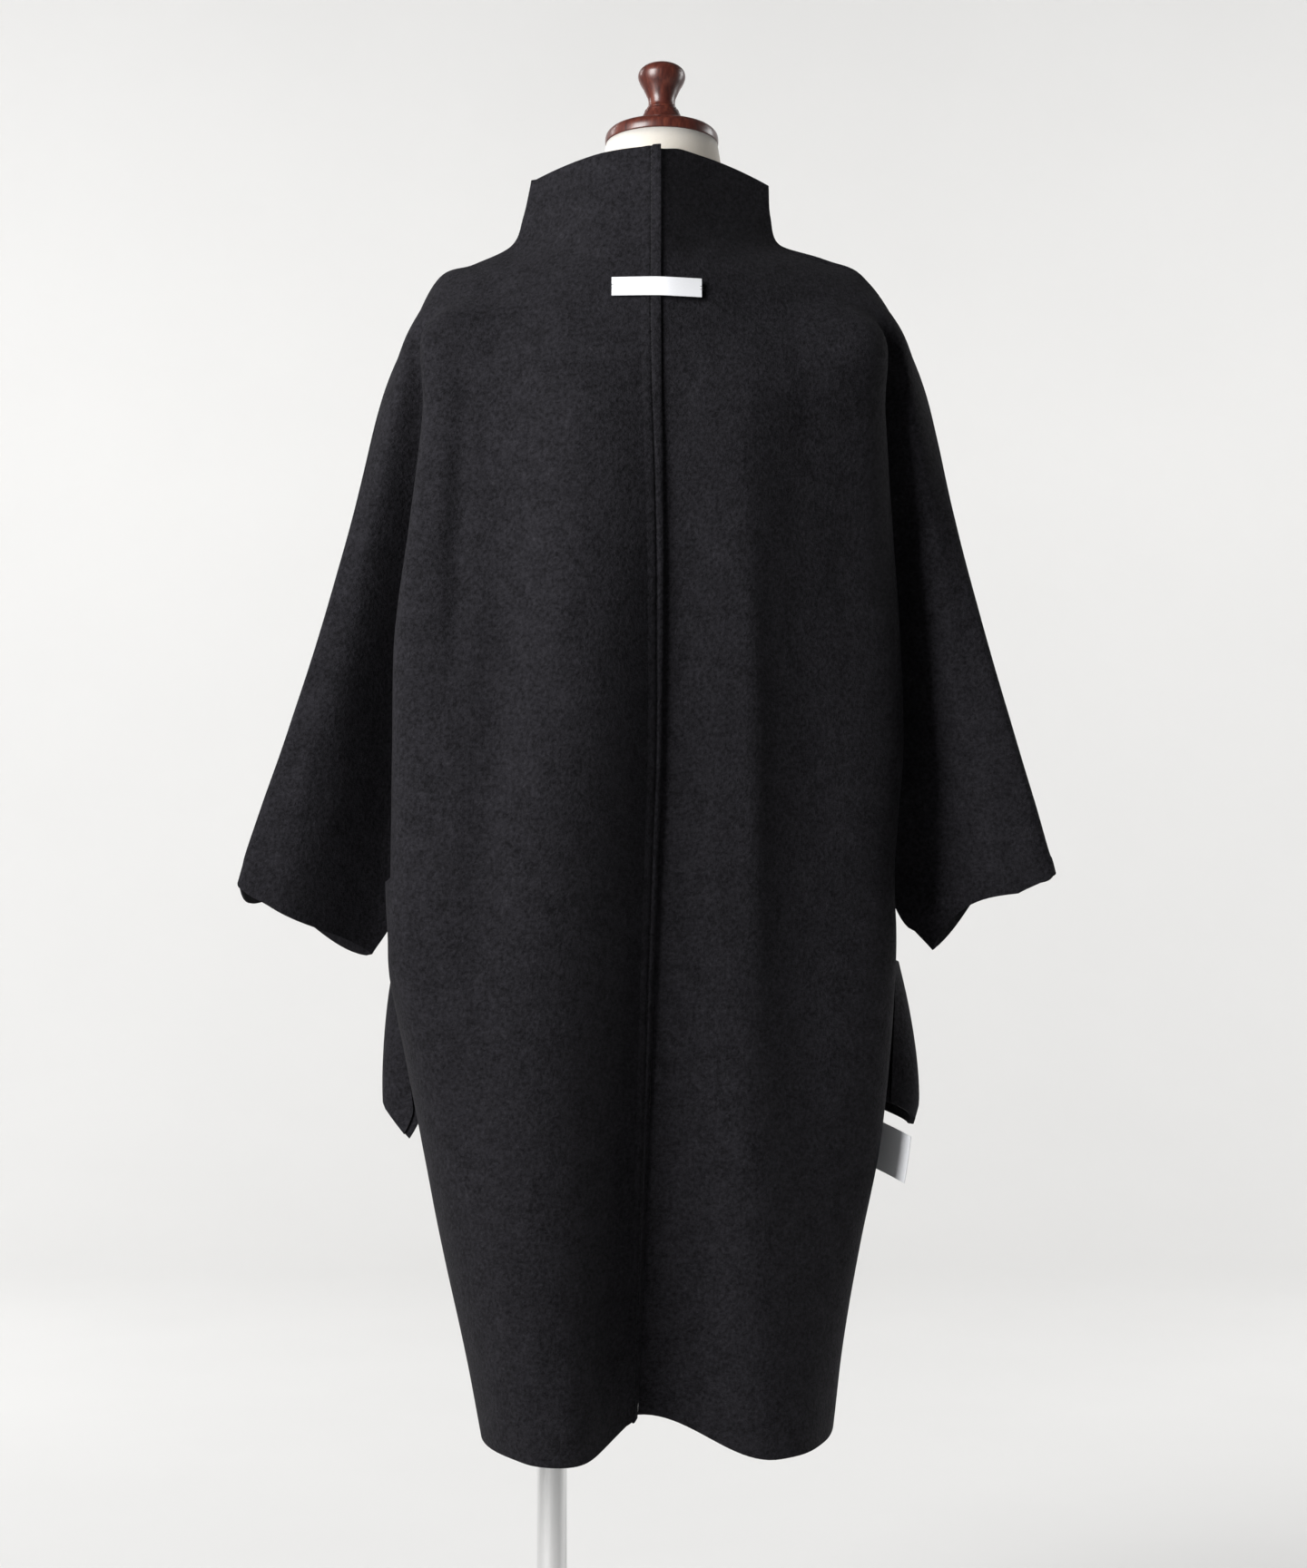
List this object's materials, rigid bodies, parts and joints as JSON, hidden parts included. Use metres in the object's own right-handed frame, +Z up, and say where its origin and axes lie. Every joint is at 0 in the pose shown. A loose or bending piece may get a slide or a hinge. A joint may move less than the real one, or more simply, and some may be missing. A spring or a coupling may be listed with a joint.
{
  "type": "cape coat on a limbless dress form",
  "caption": "Black felted-wool cape coat with a funnel neck and wide grown-on sleeves, shown inside out on a limbless dress form with a wooden neck cap, a chrome pole and a flat round base.",
  "frame": {"origin": "on the floor, at the middle of the underside of the stand's base plate", "axes": "+Z up; the coat's back faces +Y and its front -Y; +X is the wearer's left"},
  "size_m": [0.6809, 0.34, 1.5278],
  "materials": {
    "black_wool": "felted, matte",
    "white_satin": "woven satin",
    "ivory_jersey": "fine jersey, matte",
    "mahogany": "gloss lacquer",
    "chrome": "polished",
    "pale_steel": "satin"
  },
  "bodies": {
    "root": {"back_left": "black_wool", "back_right": "black_wool", "front_left": "black_wool", "front_right": "black_wool", "back_seam_strip": "black_wool", "overarm_strip_left": "black_wool", "overarm_strip_right": "black_wool", "pocket_left_back": "black_wool", "pocket_left_front": "black_wool", "pocket_right_back": "black_wool", "pocket_right_front": "black_wool", "neck_label": "white_satin", "care_label": "white_satin", "form_torso": "ivory_jersey", "neck_cap": "mahogany", "finial": "mahogany", "pole": "chrome", "pole_socket": "chrome", "base": "pale_steel"}
  },
  "joints": []
}
